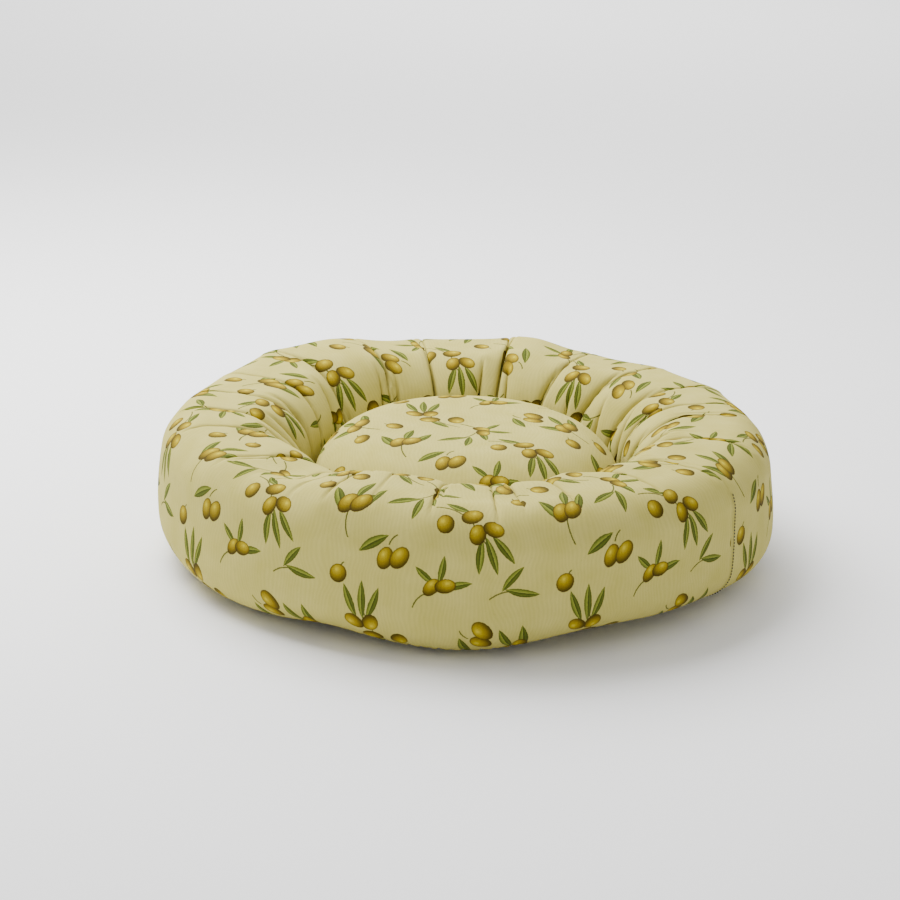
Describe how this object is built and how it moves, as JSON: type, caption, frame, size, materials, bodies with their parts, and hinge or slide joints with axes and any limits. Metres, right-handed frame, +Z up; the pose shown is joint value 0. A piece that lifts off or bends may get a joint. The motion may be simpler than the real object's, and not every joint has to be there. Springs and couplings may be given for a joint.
{
  "type": "pet cushion bed",
  "caption": "Round padded pet bed: a stuffed ring bolster in olive-print canvas on a dark base, with a loose, zipped cushion that lifts out of its well.",
  "frame": {"origin": "on the floor under the middle of the bed", "axes": "+Z up; +Y to the back, where the cushion's zip is; +X to the right"},
  "size_m": [0.5988, 0.5988, 0.145],
  "materials": {
    "printed_canvas": "matte woven cotton",
    "plain_lining": "matte woven",
    "black_base_cloth": "matte nonwoven",
    "polyester_fibre": "soft fibre",
    "nonwoven_bag": "matte nonwoven",
    "dark_thread": "twisted thread",
    "beige_thread": "twisted thread",
    "zip_tape_weave": "woven tape",
    "nylon_coil": "smooth nylon",
    "nickel_plate": "plated zinc"
  },
  "bodies": {
    "ring": {"bolster_cover": "printed_canvas", "bolster_fill": "polyester_fibre", "base_panel": "black_base_cloth", "lining_panel": "plain_lining", "gather_seam_thread": "beige_thread", "base_seam_thread": "dark_thread", "closing_seam_thread": "dark_thread"},
    "cushion": {"cushion_top_panel": "printed_canvas", "cushion_bottom_panel": "printed_canvas", "inner_bag_top": "nonwoven_bag", "inner_bag_bottom": "nonwoven_bag", "cushion_fill": "polyester_fibre", "zip_tape_upper": "zip_tape_weave", "zip_tape_lower": "zip_tape_weave", "zip_coil_upper": "nylon_coil", "zip_coil_lower": "nylon_coil", "zip_stop_right": "nickel_plate", "zip_stop_left": "nickel_plate"},
    "zip_slider": {"zip_slider": "nickel_plate"},
    "zip_pull": {"zip_pull": "nickel_plate"}
  },
  "joints": [
    {"name": "cushion_lift", "type": "slide", "parent": "ring", "child": "cushion", "axis": [0, 0, 1], "range_m": [0, 0.2]},
    {"name": "zip_run", "type": "hinge", "parent": "cushion", "child": "zip_slider", "pos_m": [0, 0, 0], "axis": [0, 0, 1], "range_deg": [0, 103]},
    {"name": "pull_swing", "type": "hinge", "parent": "zip_slider", "child": "zip_pull", "pos_m": [0.10869, 0.08646, 0.02085], "axis": [0.4634, 0.3686, 0.8058], "range_deg": [0, 170]}
  ]
}
